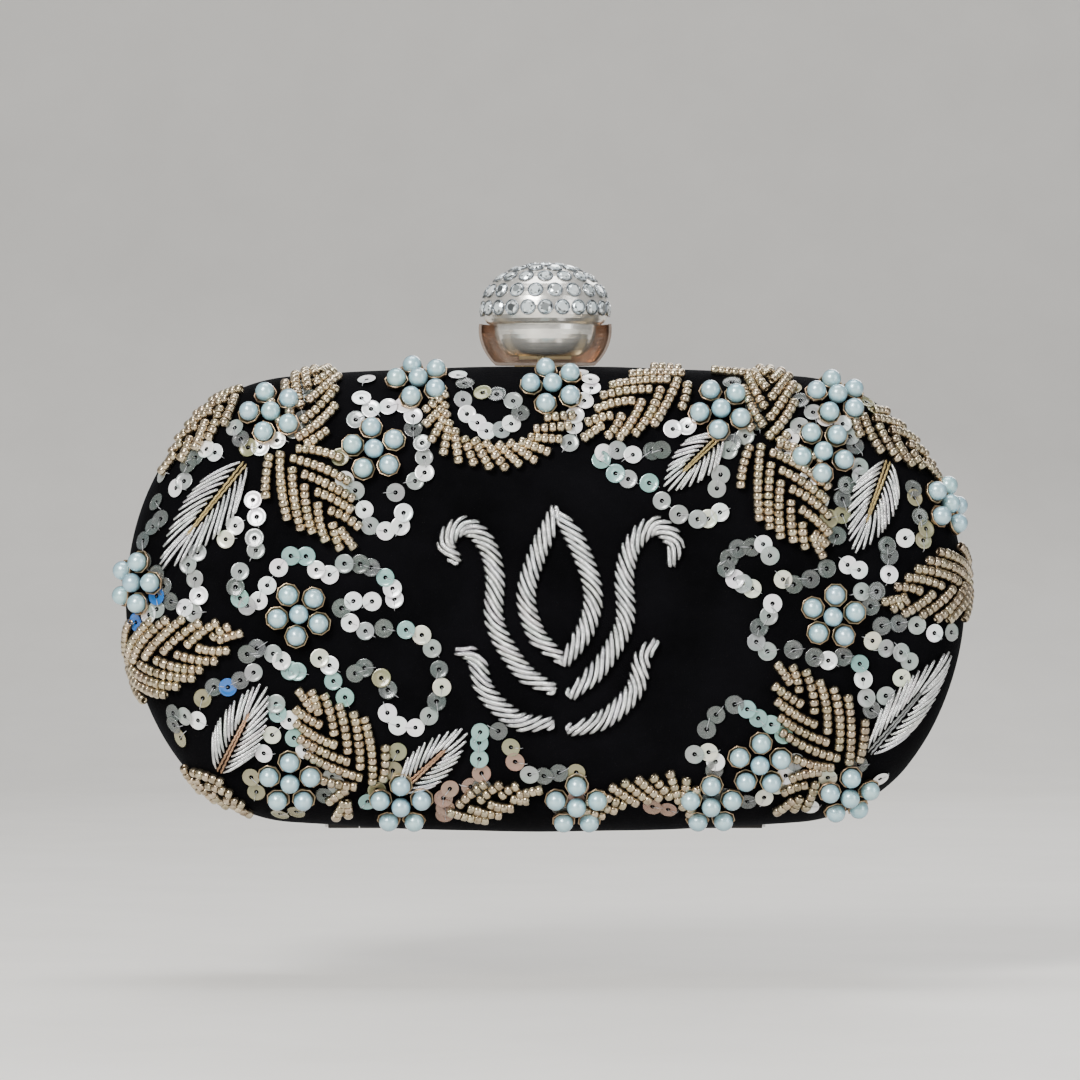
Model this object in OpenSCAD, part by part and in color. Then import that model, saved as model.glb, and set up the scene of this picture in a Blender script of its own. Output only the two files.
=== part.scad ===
// Oval hard-case evening bag. Two padded, velvet-covered pans are hinged along
// the bottom and held by a crystal ball clasp on top.
// X runs along the width, -Y is the front, +Z is up, and Z = 0 is the surface the bag stands on.
// All sizes are in millimetres.

/* [Body] */
// Depth of each half, from the parting plane to the face
half_depth = 25; // [24:0.5:27]
// Radius of the four corners
corner_radius = 32; // [32:0.5:34]
// Distance from a corner's centre to the centre of the bulged end beside it
end_reach = 25; // [22:0.5:28]
// Distance from a corner's centre to the centre of the bowed long side beside it
long_reach = 675; // [650:25:700]
// How much of the bottom edge is cut away to leave two flat strips to stand on
sole_cut = 0.144; // [0.044:0.1:0.344]
// Radius that turns the side wall into the face
edge_radius = 14; // [13:0.5:15]
// Radius of the crowned border of the face
face_radius = 52; // [50:1:54]
// Angle that the edge radius turns through before the crown begins
edge_turn = 66; // [64:1:68]

/* [Layers] */
// Thickness of the velvet cover
cover_t = 0.8; // [0.5:0.1:1.2]
// Thickness of the moulded shell
shell_t = 1.3; // [1:0.1:1.6]
// Thickness of the satin-covered lining tray
lining_t = 0.6; // [0.4:0.1:0.8]

/* [Frame] */
// How far the frame's outer face sits inside the cover's outline
frame_inset = 2.6; // [2.4:0.1:2.8]
// Depth of each frame half, which is also where the cover begins
frame_depth = 4; // [3.6:0.1:4.4]
// Thickness of the frame's web
frame_web = 0.8; // [0.6:0.1:1]
// Thickness of the frame's inner lip
frame_lip = 0.75; // [0.6:0.05:0.9]
// Gap between the two frame halves when the bag is shut
parting_gap = 0.3; // [0.2:0.05:0.4]

/* [Hinge] */
// Distance of each hinge from the middle of the bag
hinge_x = 36; // [30:1:42]
// Length of each hinge
hinge_length = 20; // [16:1:24]
// Outer radius of the barrels
barrel_r = 1.2; // [1.1:0.05:1.25]
// Radius of the hinge pins
hinge_pin_r = 0.6; // [0.5:0.05:0.7]
// Height of the hinge axis
hinge_z = 1.4; // [1.35:0.05:1.5]

/* [Clasp] */
// Radius of the crystal cap at its widest
cap_r = 13.4; // [13:0.1:13.6]
// Height of the cap's lower edge above the bag's top
cap_rise = 8.8; // [8.6:0.1:9.6]
// Height of the smooth lip under the stones
lip_height = 3; // [2.5:0.1:3.2]
// Height of the domed part that carries the stones
dome_height = 9.9; // [9:0.1:10.5]
// Radius of the front bowl where it meets the cap
bowl_r = 10.8; // [10:0.1:10.9]
// Outer radius of the rear cup
cup_r = 14.1; // [13.9:0.1:14.3]
// Diameter of one crystal
crystal_d = 2.8; // [2.4:0.1:3]

/* [Embroidery] */
// Diameter of one pearl
pearl_d = 4; // [3.6:0.1:4.2]

/* [Chain lugs] */
// Radius of the hole that takes a chain's end ring
lug_hole_r = 1.6; // [1.4:0.1:2]
// Height of the lugs
lug_z = 66; // [56:1:70]

/* [Hidden] */
$fn = 96;
eps = 0.01;
long_fn = 720; // finer steps for the two long, shallow arcs
running = 0.05; // radial clearance of a pin in its bore
fit_gap = 0.05; // clearance round the shell's rim in the frame's channel
curve_steps = 6; // straight cuts that stand for one arc of the pan's profile

// Profile of a pan, measured as [inset from the outline, depth from the parting plane].
face_run = edge_radius + (face_radius - edge_radius) * cos(edge_turn);
wall_depth = half_depth - face_radius + (face_radius - edge_radius) * sin(edge_turn);
rim_roll = wall_depth - frame_depth; // the cover rolls in to the frame on this radius
shell_inset = rim_roll;
lining_inset = shell_inset + shell_t;
inner_inset = lining_inset + lining_t;

// Outline: arcs that meet smoothly along these two directions from a corner's centre. Both
// directions have unit length in round numbers, which keeps every join exact.
END_DIR = [0.8, 0.6];
LONG_DIR = [0.07584, 0.99712];
end_radius = corner_radius + end_reach;
long_radius = corner_radius + long_reach;
corner = [long_reach * LONG_DIR[0], end_reach * END_DIR[1]];
end_x = corner[0] - end_reach * END_DIR[0];
long_y = corner[1] - long_reach * LONG_DIR[1];
half_width = end_x + end_radius;
half_height = long_y + long_radius;
centre_z = half_height - sole_cut;
end_turn = atan2(END_DIR[1], END_DIR[0]);
long_turn = atan2(LONG_DIR[0], LONG_DIR[1]);

// Each arc is [centre, radius, first angle, sweep, region that keeps only its share of a full turn].
far = 100;
function along(c, d, m) = [m[0] * (c[0] + far * d[0]), m[1] * (c[1] + far * d[1])];
function flip(c, m) = [m[0] * c[0], m[1] * c[1]];
function corner_arc(m, first) = [flip(corner, m), corner_radius, first, 90 - end_turn - long_turn,
    [flip(corner, m), along(corner, END_DIR, m), flip([far + 40, far + 40], m), along(corner, LONG_DIR, m)], $fn];
function end_arc(m) = [flip([end_x, 0], m), end_radius, m[0] > 0 ? -end_turn : 180 - end_turn, 2 * end_turn,
    [flip([end_x, 0], m), along([end_x, 0], END_DIR, m), along([end_x, 0], flip(END_DIR, [1, -1]), m)], $fn];
function long_arc(m) = [[0, m[1] * long_y], long_radius, (m[1] > 0 ? 90 : 270) - long_turn, 2 * long_turn,
    [[0, m[1] * long_y], along([0, long_y], LONG_DIR * 7.5, [1, m[1]]), along([0, long_y], LONG_DIR * 7.5, [-1, m[1]])],
    long_fn];
ARCS = [
    end_arc([1, 1]), corner_arc([1, 1], end_turn), long_arc([1, 1]), corner_arc([-1, 1], 90 + long_turn),
    end_arc([-1, 1]), corner_arc([-1, -1], 180 + end_turn), long_arc([1, -1]), corner_arc([1, -1], 270 + long_turn)
];

top_z = centre_z + half_height;
frame_top = top_z - frame_inset;
front_y = -parting_gap / 2;

// Hinge knuckles, along X from the hinge's left end.
knuckle_gap = 0.2;
knuckle = hinge_length / 3;
leaf_t = 0.6;
leaf_z = hinge_z + barrel_r - leaf_t;
leaf_y = frame_depth - 0.2;
rivet_r = 0.7;
rivet_head_r = 1;
rivet_head_t = 0.5;
hinge_rivet_y = frame_depth / 2 + 0.5;

// Clasp heights.
pivot_z = top_z + 0.2;
pivot_r = 0.8;
cap_z = top_z + cap_rise;
bowl_floor = top_z + 2.2;
bowl_floor_r = 6.5;
bowl_height = cap_z - bowl_floor;
cup_floor = top_z + 0.4;
tongue_y = -2.1; // middle of the front tongue
tongue_t = 1.8;
base_t = 1;
cup_wall = 0.6;
cap_spigot_r = 9.3;
cap_power = 2.15; // exponent of the cap's dome, from 2 for an ellipse towards square
clasp_rivet_x = 8.5;
clasp_rivet_y = 2.1;

// Crystal rows: [height on the dome as a share of it, number of stones, share of a pitch they are turned by].
CRYSTAL_ROWS = [[0.05, 23, 0], [0.42, 19, 0.5], [0.72, 15, 0], [0.9, 10, 0.5], [0.98, 5, 0], [1, 1, 0]];
crystal_sink = 0.7; // how deep a stone sits in its seat
crystal_t = 1.1;
seat_gap = 0.05;

// Pearl flowers: [across, up, turn] of each middle pearl, on the face flattened out.
FRONT_FLOWERS = [
    [-57, 39, 36], [-35.5, 31, 25], [-51, -3, 47], [-53, -38, 18], [-30, -43, 18],
    [1.5, 45, 36], [-26.5, 46.5, 36], [36.5, 39.5, 46], [57.5, 30.5, 50], [59.5, -3.5, 12],
    [44.5, -34, 15], [61, 43, 28], [86, 20.5, 6], [-86.5, 3.5, 0], [6.5, -43, 18],
    [34.5, -43, 18], [63.5, -41.5, 18]
];
REAR_FLOWERS = [[-52, 28, 10], [52, 28, 20], [-54, -30, 0], [54, -30, 12], [0, -42, 90], [86.5, 3.5, 0]];
petals = 5;
pearl_gap = 0.08;
petal_reach = 1.115 * (pearl_d + pearl_gap); // from the middle pearl to each outer one

// ---- outline and profile ----

function round3(v) = round(1000 * v) / 1000;

// Points of one profile arc about centre c, after angle a and up to angle b.
function arc_points(c, r, a, b, from = 1) =
    [for (i = [from:curve_steps]) let (t = a + (b - a) * i / curve_steps)
        [round3(c[0] - r * cos(t)), round3(c[1] + r * sin(t))]];

face_centre = [face_run, half_depth - face_radius];
edge_centre = [edge_radius, wall_depth];

// The crowned part of the profile, offset inwards by t, from the side wall to the flat of the face.
function crown(t) = concat(
    arc_points(edge_centre, edge_radius - t, 0, edge_turn, 0),
    arc_points(face_centre, face_radius - t, edge_turn, 90),
    [[round3(face_run + 1.5), half_depth - t]]);

// The rolled-in rim of the cover, offset inwards by t.
function rolled_rim(t) = [for (i = [0:curve_steps - 1]) let (a = -90 + 90 * i / curve_steps)
    [round3(rim_roll - (rim_roll - t) * cos(a)), round3(wall_depth + (rim_roll - t) * sin(a))]];

function reversed(list) = [for (i = [len(list) - 1:-1:0]) list[i]];

// Points round the outline, inset by s.
function outline(s) = [for (a = ARCS) for (i = [0:5])
    let (t = a[2] + a[3] * i / 6) a[0] + (a[1] - s) * [cos(t), sin(t)]];

// Sweeps a profile of [inset, depth] points round the outline.
module swept(points) {
    for (a = ARCS)
        intersection() {
            translate(a[0])
                rotate_extrude($fn = a[5])
                    polygon([for (p = points) [round3(a[1] - p[0]), p[1]]]);
            translate([0, 0, -1])
                linear_extrude(half_depth + 2)
                    polygon(a[4]);
        }
}

// A pan wall between two offsets of the profile, with the flat middle of its face.
module pan(outer, inner, t_outer, t_inner) {
    swept(concat(outer, reversed(inner)));
    translate([0, 0, half_depth - t_inner])
        linear_extrude(t_inner - t_outer)
            polygon(outline(face_run + 0.8));
}

// Stands a half up: its depth points to the front, or to the rear for side = 1.
module stand(side) {
    mirror([0, side > 0 ? 1 : 0, 0])
        translate([0, 0, centre_z])
            rotate([90, 0, 0])
                children();
}

// Everything inside the frame's outer face near the middle of the bag, used to fit parts to the frame.
module frame_block() {
    rise = [for (x = [-60:4:60]) [x, frame_face(x)]];
    translate([0, 0, centre_z])
        rotate([90, 0, 0])
            linear_extrude(4 * frame_depth, center = true)
                polygon(concat(rise, [for (p = reversed(rise)) [p[0], -p[1]]]));
}

// Height of the frame's outer face above the middle of the bag, at x.
function frame_face(x) = long_y + sqrt((long_radius - frame_inset)^2 - x^2);

// ---- the two halves: side = -1 is the front, side = 1 the rear ----

module cover(side) {
    color("#0b0b10")
        difference() {
            stand(side)
                pan(concat(rolled_rim(0), crown(0)), concat(rolled_rim(cover_t), crown(cover_t)), 0, cover_t);
            translate([-60, -60, -10])
                cube([120, 120, 10]);
        }
}

module padding(side) {
    color("#e8e2d0")
        stand(side)
            pan(concat(rolled_rim(cover_t), crown(cover_t)),
                concat([[shell_inset, frame_depth + cover_t]], crown(shell_inset)),
                cover_t, shell_inset);
}

module clasp_rivet_holes(side, r) {
    for (x = [-clasp_rivet_x, clasp_rivet_x])
        translate([x, side * clasp_rivet_y, top_z - 10])
            cylinder(r = r, h = 14);
}

module hinge_rivet_holes(side, r) {
    for (h = [-hinge_x, hinge_x])
        for (x = [-hinge_length / 3, hinge_length / 3])
            translate([h + x, side * hinge_rivet_y, -2])
                cylinder(r = r, h = 12);
}

module shell(side) {
    rim = frame_web + parting_gap / 2 + fit_gap;
    color("#3a3a3c")
        difference() {
            stand(side)
                pan(concat([[shell_inset, rim]], crown(shell_inset)),
                    concat([[lining_inset, rim]], crown(lining_inset)),
                    shell_inset, lining_inset);
            clasp_rivet_holes(side, rivet_r + fit_gap);
            hinge_rivet_holes(side, rivet_r + fit_gap);
        }
}

module lining(side) {
    rim = frame_depth + fit_gap;
    color("#c9a24b")
        stand(side)
            pan(concat([[lining_inset, rim]], crown(lining_inset)),
                concat([[inner_inset, rim]], crown(inner_inset)),
                lining_inset, inner_inset);
}

// The pressed metal rim, a channel that grips the shell's edge.
module frame(side) {
    face = parting_gap / 2;
    lip_end = frame_depth - fit_gap;
    channel_floor = face + frame_web;
    channel = [shell_inset - fit_gap, lining_inset + fit_gap];
    color("#c9a86a")
        difference() {
            stand(side)
                swept([
                    [frame_inset, face], [frame_inset, lip_end], [channel[0], lip_end],
                    [channel[0], channel_floor], [channel[1], channel_floor], [channel[1], lip_end],
                    [channel[1] + frame_lip, lip_end], [channel[1] + frame_lip, face]
                ]);
            clasp_rivet_holes(side, rivet_r + fit_gap);
            hinge_rivet_holes(side, rivet_r + fit_gap);
        }
}

// ---- hinges ----

// A leaf with its knuckles: the front leaf has the middle one, the rear leaf the outer two.
module hinge_leaf(side, x) {
    starts = side < 0 ? [-knuckle / 2] : [-hinge_length / 2, knuckle / 2];
    y = side < 0 ? [-leaf_y, 0] : [0, leaf_y];
    color("#b8975a")
        translate([x, 0, 0]) {
            difference() {
                union() {
                    for (s = starts)
                        translate([s + knuckle_gap / 2, y[0], leaf_z])
                            cube([knuckle - knuckle_gap, leaf_y, leaf_t]);
                    translate([-hinge_length / 2, side < 0 ? -leaf_y : barrel_r + 0.3, leaf_z])
                        cube([hinge_length, leaf_y - barrel_r - 0.3, 4]);
                    for (s = starts)
                        translate([s + knuckle_gap / 2, 0, hinge_z])
                            rotate([0, 90, 0])
                                cylinder(r = barrel_r, h = knuckle - knuckle_gap);
                }
                translate([-hinge_length, 0, hinge_z])
                    rotate([0, 90, 0])
                        cylinder(r = hinge_pin_r + running, h = 2 * hinge_length);
                translate([-x, 0, 0])
                    frame_block();
                translate([-x, 0, 0])
                    hinge_rivet_holes(side, rivet_r + fit_gap);
            }
        }
}

module hinge_pin(x) {
    color("#d8d8d8")
        translate([x - hinge_length / 2 - 0.6, 0, hinge_z])
            rotate([0, 90, 0]) {
                translate([0, 0, 0.6])
                    cylinder(r = hinge_pin_r, h = hinge_length);
                cylinder(r = hinge_pin_r + 0.35, h = 0.6);
                translate([0, 0, hinge_length + 0.6])
                    cylinder(r = hinge_pin_r + 0.35, h = 0.6);
            }
}

// One rivet along +Z: its head starts at z0 and its tail ends at z1.
module rivet(z0, z1) {
    translate([0, 0, z0])
        cylinder(r = rivet_r, h = z1 - z0);
    translate([0, 0, z0 - rivet_head_t])
        cylinder(r = rivet_head_r, h = rivet_head_t);
    translate([0, 0, z1])
        cylinder(r = rivet_head_r, h = rivet_head_t);
}

module hinge_rivets(side) {
    inner_face = lining_inset + fit_gap + frame_lip;
    color("#d8c48a")
        for (h = [-hinge_x, hinge_x])
            for (x = [-hinge_length / 3, hinge_length / 3])
                translate([h + x, side * hinge_rivet_y, 0])
                    rivet(leaf_z, inner_face + sag(h + x) + 0.1);
}

// How far the long arc falls away from its highest point at x.
function sag(x) = long_radius - sqrt(long_radius^2 - x^2);

// ---- clasp ----

module clasp_rivets(side) {
    inner_face = lining_inset + fit_gap + frame_lip;
    color("#d8c48a")
        for (x = [-clasp_rivet_x, clasp_rivet_x])
            translate([x, side * clasp_rivet_y, 0])
                rivet(top_z - inner_face - sag(x) - 0.1, frame_top + base_t);
}

// The saddle that carries the front knob, with two ears for its pivot.
module clasp_base() {
    ear_t = 0.75;
    length = 24;
    color("#c9a86a")
        difference() {
            union() {
                translate([-length / 2, -leaf_y, frame_top - 1])
                    cube([length, leaf_y + front_y, base_t + 1]);
                for (y = [tongue_y - tongue_t / 2 - 0.1 - ear_t, tongue_y + tongue_t / 2 + 0.1])
                    translate([0, y, 0])
                        ear(ear_t);
            }
            frame_block();
            clasp_rivet_holes(-1, rivet_r + fit_gap);
            translate([0, 0, pivot_z])
                rotate([90, 0, 0])
                    cylinder(r = pivot_r + running, h = 10, center = true);
        }
}

module ear(t) {
    r = 1.7;
    translate([0, t, pivot_z])
        rotate([90, 0, 0])
            linear_extrude(t)
                union() {
                    circle(r);
                    translate([-r, frame_top + base_t / 2 - pivot_z])
                        square([2 * r, pivot_z - frame_top - base_t / 2]);
                }
}

module clasp_pivot() {
    from = tongue_y - tongue_t / 2 - 0.85;
    color("#d8d8d8")
        translate([0, from, pivot_z])
            rotate([-90, 0, 0])
                cylinder(r = pivot_r, h = front_y - from);
}

// The tongue under the bowl, which rocks on the pivot.
module clasp_tongue() {
    width = 11;
    color("#c9a86a")
        difference() {
            translate([0, tongue_y + tongue_t / 2, 0])
                rotate([90, 0, 0])
                    linear_extrude(tongue_t)
                        union() {
                            translate([0, pivot_z])
                                circle(1.6);
                            translate([-1.6, pivot_z])
                                square([3.2, bowl_floor - pivot_z]);
                            translate([-width / 2, bowl_floor - 0.6])
                                square([width, 0.6]);
                        }
            translate([0, 0, pivot_z])
                rotate([90, 0, 0])
                    cylinder(r = pivot_r + running, h = 10, center = true);
        }
}

module clasp_bowl() {
    steps = 10;
    color("#cfc6b4")
        rotate_extrude()
            polygon(concat(
                [[0, bowl_floor]],
                [for (i = [0:steps]) let (t = 90 * i / steps)
                    [bowl_floor_r + (bowl_r - bowl_floor_r) * sin(t), bowl_floor + bowl_height * (1 - cos(t))]],
                [[cap_spigot_r, cap_z], [cap_spigot_r, cap_z + 0.8], [0, cap_z + 0.8]]));
}

// Radius of the cap's dome at share k of its height.
function dome_at(k) = cap_r * pow(max(0, 1 - pow(k, cap_power)), 1 / cap_power);

// Angle of the dome's outward normal above the horizontal at share k.
function dome_lean(k) = let (d = 0.002, a = min(k, 1 - d))
    k >= 1 ? 90 : atan2(dome_at(a) - dome_at(a + d), d * dome_height);

// Puts its children at each crystal's seat, +Z along the dome's outward normal.
module crystal_seats() {
    for (row = CRYSTAL_ROWS)
        for (i = [0:row[1] - 1])
            rotate(360 * (i + row[2]) / row[1] - 90)
                translate([dome_at(row[0]), 0, cap_z + lip_height + dome_height * row[0]])
                    rotate([0, 90 - dome_lean(row[0]), 0])
                        children();
}

// The cap is a thick shell: a lip that curves out from the bowl, then the dome.
module clasp_cap() {
    steps = 16;
    inner = 0.84;
    lip_r = bowl_r + 0.1;
    base = cap_z + lip_height;
    color("#dcdcdc")
        difference() {
            rotate_extrude()
                polygon(concat(
                    [for (i = [0:4]) let (t = 90 * i / 5)
                        [lip_r + (cap_r - lip_r) * sin(t), cap_z + lip_height * (1 - cos(t))]],
                    [for (i = [0:steps]) let (k = sin(90 * i / steps)) [dome_at(k), base + dome_height * k]],
                    [for (i = [steps:-1:0]) let (k = sin(90 * i / steps))
                        [inner * dome_at(k), base + (dome_height - 2) * k]],
                    [[cap_spigot_r + 0.05, cap_z + 0.9], [cap_spigot_r + 0.05, cap_z]]));
            crystal_seats()
                translate([0, 0, -crystal_sink])
                    cylinder(d = crystal_d + 2 * seat_gap, h = 3);
        }
}

module crystals() {
    color("#eef6ff")
        crystal_seats()
            translate([0, 0, seat_gap - crystal_sink])
                cylinder(d = crystal_d, h = crystal_t, $fn = 8);
}

// The rear cup that the ball snaps into.
module clasp_cup() {
    steps = 10;
    middle = cup_floor + 7.6;
    drop = 11.4;
    rim = cap_z + 0.4;
    function wall_at(z) = cup_r * sqrt(1 - ((z - middle) / drop)^2);
    heights = [for (i = [0:steps]) cup_floor + (rim - cup_floor) * i / steps];
    color("#b98a6a")
        difference() {
            rotate_extrude()
                polygon(concat(
                    [[0, cup_floor]],
                    [for (z = heights) [wall_at(z), z]],
                    [for (i = [steps:-1:1]) [wall_at(heights[i]) - cup_wall, heights[i]]],
                    [[wall_at(cup_floor) - cup_wall, cup_floor + cup_wall], [0, cup_floor + cup_wall]]));
            translate([-20, -40 - front_y, cup_floor - 1])
                cube([40, 40, 20]);
        }
}

// The post that carries the cup on the rear frame.
module cup_post() {
    color("#c9a86a")
        difference() {
            union() {
                translate([-12, -front_y, frame_top - 1])
                    cube([24, leaf_y + front_y, base_t + 1]);
                translate([-6.5, -front_y, frame_top])
                    cube([13, leaf_y + front_y, cup_floor - frame_top]);
            }
            frame_block();
            clasp_rivet_holes(1, rivet_r + fit_gap);
        }
}

// ---- chain lugs ----

module chain_lug(dir) {
    inner = half_width - lining_inset - fit_gap - frame_lip;
    drop = end_radius - sqrt(end_radius^2 - (lug_z - centre_z)^2);
    reach = 6;
    color("#c9a86a")
        mirror([dir < 0 ? 1 : 0, 0, 0])
            difference() {
                translate([inner - drop - reach, 2.2, lug_z])
                    rotate([90, 0, 0])
                        linear_extrude(1.2)
                            union() {
                                circle(3.2);
                                translate([0, -2])
                                    square([reach + 1, 4]);
                            }
                translate([inner - drop - reach, 0, lug_z])
                    rotate([90, 0, 0])
                        cylinder(r = lug_hole_r, h = 10, center = true);
                frame_inner_cut();
            }
}

// The solid ring of the frame, used to end the lugs on its inner lip.
module frame_inner_cut() {
    stand(1)
        swept([[frame_inset, 0], [frame_inset, frame_depth + 1],
            [lining_inset + fit_gap + frame_lip, frame_depth + 1], [lining_inset + fit_gap + frame_lip, 0]]);
}

// ---- embroidery ----

// Places a point of the flattened face on the cover: [[x, z from the middle, depth], turn about the face's normal, lean].
flat_r = [for (a = ARCS) a[1] - face_run];
face_length = face_radius * (90 - edge_turn) * PI / 180;

function sector(q) = let (x = abs(q[0]), y = abs(q[1]))
    (x > end_x && atan2(y, x - end_x) < end_turn) ? [[end_x, 0], end_radius]
    : atan2(x, y - long_y) < long_turn ? [[0, long_y], long_radius]
    : [corner, corner_radius];

// Angle of the surface normal above the parting plane, at length l past the flat of the face.
function lean_at(l) = l <= 0 ? 90
    : l < face_length ? 90 - l / face_radius * 180 / PI
    : edge_turn - (l - face_length) / edge_radius * 180 / PI;

function inset_at(l, t) = l < face_length
    ? face_centre[0] - face_radius * cos(t)
    : edge_centre[0] - edge_radius * cos(t);

function depth_at(l, t) = l < face_length
    ? face_centre[1] + face_radius * sin(t)
    : edge_centre[1] + edge_radius * sin(t);

// [point on the cover, outward normal], both as [across, up, depth].
function seat(q) = let (
    s = sector(q),
    m = [sign(q[0]) == 0 ? 1 : sign(q[0]), sign(q[1]) == 0 ? 1 : sign(q[1])],
    p = [abs(q[0]), abs(q[1])] - s[0],
    l = norm(p) - (s[1] - face_run),
    t = lean_at(l),
    u = p / norm(p),
    r = s[1] - inset_at(l, t),
    flat = l <= 0)
    flat ? [[q[0], q[1], half_depth], [0, 0, 1]]
    : [[m[0] * (s[0][0] + r * u[0]), m[1] * (s[0][1] + r * u[1]), depth_at(l, t)],
        [m[0] * u[0] * cos(t), m[1] * u[1] * cos(t), sin(t)]];

module pearl_flower(f) {
    middles = concat([[0, 0]], [for (i = [0:petals - 1])
        let (a = f[2] + 360 * i / petals) petal_reach * [cos(a), sin(a)]]);
    for (c = middles) {
        at = seat([f[0], f[1]] + c);
        translate(at[0] + at[1] * (pearl_d / 2 + pearl_gap))
            sphere(d = pearl_d, $fn = 32);
    }
}

module pearls(side, flowers) {
    color("#cfe4e6")
        stand(side)
            for (f = flowers)
                pearl_flower(f);
}

cover(1);  // rear_cover
padding(1);  // rear_padding
shell(1);  // rear_shell
lining(1);  // rear_lining
frame(1);  // rear_frame
hinge_leaf(1, -hinge_x);  // rear_hinge_leaf_left
hinge_leaf(1, hinge_x);  // rear_hinge_leaf_right
hinge_rivets(1);  // rear_hinge_rivets
hinge_pin(-hinge_x);  // hinge_pin_left
hinge_pin(hinge_x);  // hinge_pin_right
cup_post();
clasp_cup();
clasp_rivets(1);  // cup_rivets
chain_lug(-1);  // chain_lug_left
chain_lug(1);  // chain_lug_right
pearls(1, REAR_FLOWERS);  // rear_pearls
cover(-1);  // front_cover
padding(-1);  // front_padding
shell(-1);  // front_shell
lining(-1);  // front_lining
frame(-1);  // front_frame
hinge_leaf(-1, -hinge_x);  // front_hinge_leaf_left
hinge_leaf(-1, hinge_x);  // front_hinge_leaf_right
hinge_rivets(-1);  // front_hinge_rivets
clasp_base();
clasp_rivets(-1);  // clasp_base_rivets
clasp_pivot();
pearls(-1, FRONT_FLOWERS);  // front_pearls
clasp_tongue();
clasp_bowl();
clasp_cap();
crystals();
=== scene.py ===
import math
import random

import bmesh
import bpy
import numpy as np
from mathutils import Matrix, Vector


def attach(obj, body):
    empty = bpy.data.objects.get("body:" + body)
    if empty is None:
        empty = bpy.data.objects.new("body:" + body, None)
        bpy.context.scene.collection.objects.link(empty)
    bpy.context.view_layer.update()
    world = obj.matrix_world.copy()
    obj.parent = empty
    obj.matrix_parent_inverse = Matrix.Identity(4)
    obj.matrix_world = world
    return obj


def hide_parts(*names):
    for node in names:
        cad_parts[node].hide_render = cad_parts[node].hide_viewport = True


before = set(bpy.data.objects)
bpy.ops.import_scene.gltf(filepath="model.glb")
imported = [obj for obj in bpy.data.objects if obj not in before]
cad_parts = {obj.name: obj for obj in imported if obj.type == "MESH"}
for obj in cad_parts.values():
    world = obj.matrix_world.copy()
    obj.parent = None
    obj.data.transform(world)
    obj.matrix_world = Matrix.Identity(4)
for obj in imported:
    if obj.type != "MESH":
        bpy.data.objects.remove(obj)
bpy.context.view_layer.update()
rng = random.Random(7)
MM = 0.001
pi, sin, cos, rad = math.pi, math.sin, math.cos, math.radians

# ---------------------------------------------------------------- shape of a pan, in mm
DEPTH = 25.0
VIEW_DISTANCE = 1200.0
EDGE_R, FACE_R, EDGE_TURN = 14.0, 52.0, rad(66)
CORNER_R, END_REACH, LONG_REACH = 32.0, 25.0, 675.0
END_DIR, LONG_DIR = (0.8, 0.6), (0.07584, 0.99712)
END_R, LONG_R = CORNER_R + END_REACH, CORNER_R + LONG_REACH
CORNER = np.array([LONG_REACH * LONG_DIR[0], END_REACH * END_DIR[1]])
END = np.array([CORNER[0] - END_REACH * END_DIR[0], 0.0])
LONG = np.array([0.0, CORNER[1] - LONG_REACH * LONG_DIR[1]])
FOOT_Z = -0.144  # height of the outline's lowest point in the row frame
CENTRE_Z = LONG[1] + LONG_R + FOOT_Z
FACE_RUN = EDGE_R + (FACE_R - EDGE_R) * cos(EDGE_TURN)
WALL = DEPTH - FACE_R + (FACE_R - EDGE_R) * sin(EDGE_TURN)
SEAM_DEPTH = 4.0
ROLL = WALL - SEAM_DEPTH
FACE_LEN = FACE_R * (pi / 2 - EDGE_TURN)
EDGE_LEN = EDGE_R * EDGE_TURN
END_TURN, LONG_TURN = math.atan2(*END_DIR[::-1]), math.atan2(*LONG_DIR)
NEARER = 0.992  # true over seen distance from the middle: the domed face is nearer the camera


def arc_of(x, z):
    """Centre and radius of the outline's arc beside a point, with both coordinates positive."""
    if x > END[0] and math.atan2(z, x - END[0]) < END_TURN:
        return END, END_R
    if math.atan2(x, z - LONG[1]) < LONG_TURN:
        return LONG, LONG_R
    return CORNER, CORNER_R


def section(length):
    """Inset from the outline, depth and lean of the surface at a length past the flat of the face."""
    if length <= 0:
        return FACE_RUN - length, DEPTH, pi / 2
    if length < FACE_LEN:
        t = pi / 2 - length / FACE_R
        return FACE_RUN - FACE_R * cos(t), DEPTH - FACE_R + FACE_R * sin(t), t
    if length < FACE_LEN + EDGE_LEN:
        t = EDGE_TURN - (length - FACE_LEN) / EDGE_R
        return EDGE_R - EDGE_R * cos(t), WALL + EDGE_R * sin(t), t
    t = -(length - FACE_LEN - EDGE_LEN) / ROLL
    return ROLL - ROLL * cos(t), WALL + ROLL * sin(t), t


def flatten(x, z):
    """A point seen from the camera, carried to the face laid out flat."""
    x, z = x * NEARER, z * NEARER
    sx, sz = math.copysign(1, x), math.copysign(1, z)
    c, r = arc_of(abs(x), abs(z))
    d = np.array([abs(x), abs(z)]) - c
    n = max(np.hypot(*d), 1e-6)
    s = max(r - n, 0.0)
    if s >= FACE_RUN:
        return np.array([x, z])
    if s > EDGE_R * (1 - cos(EDGE_TURN)):
        length = (pi / 2 - math.acos((FACE_RUN - s) / FACE_R)) * FACE_R
    else:
        length = FACE_LEN + (EDGE_TURN - math.acos((EDGE_R - s) / EDGE_R)) * EDGE_R
    p = c + d / n * (r - FACE_RUN + length)
    return np.array([sx * p[0], sz * p[1]])


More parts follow.
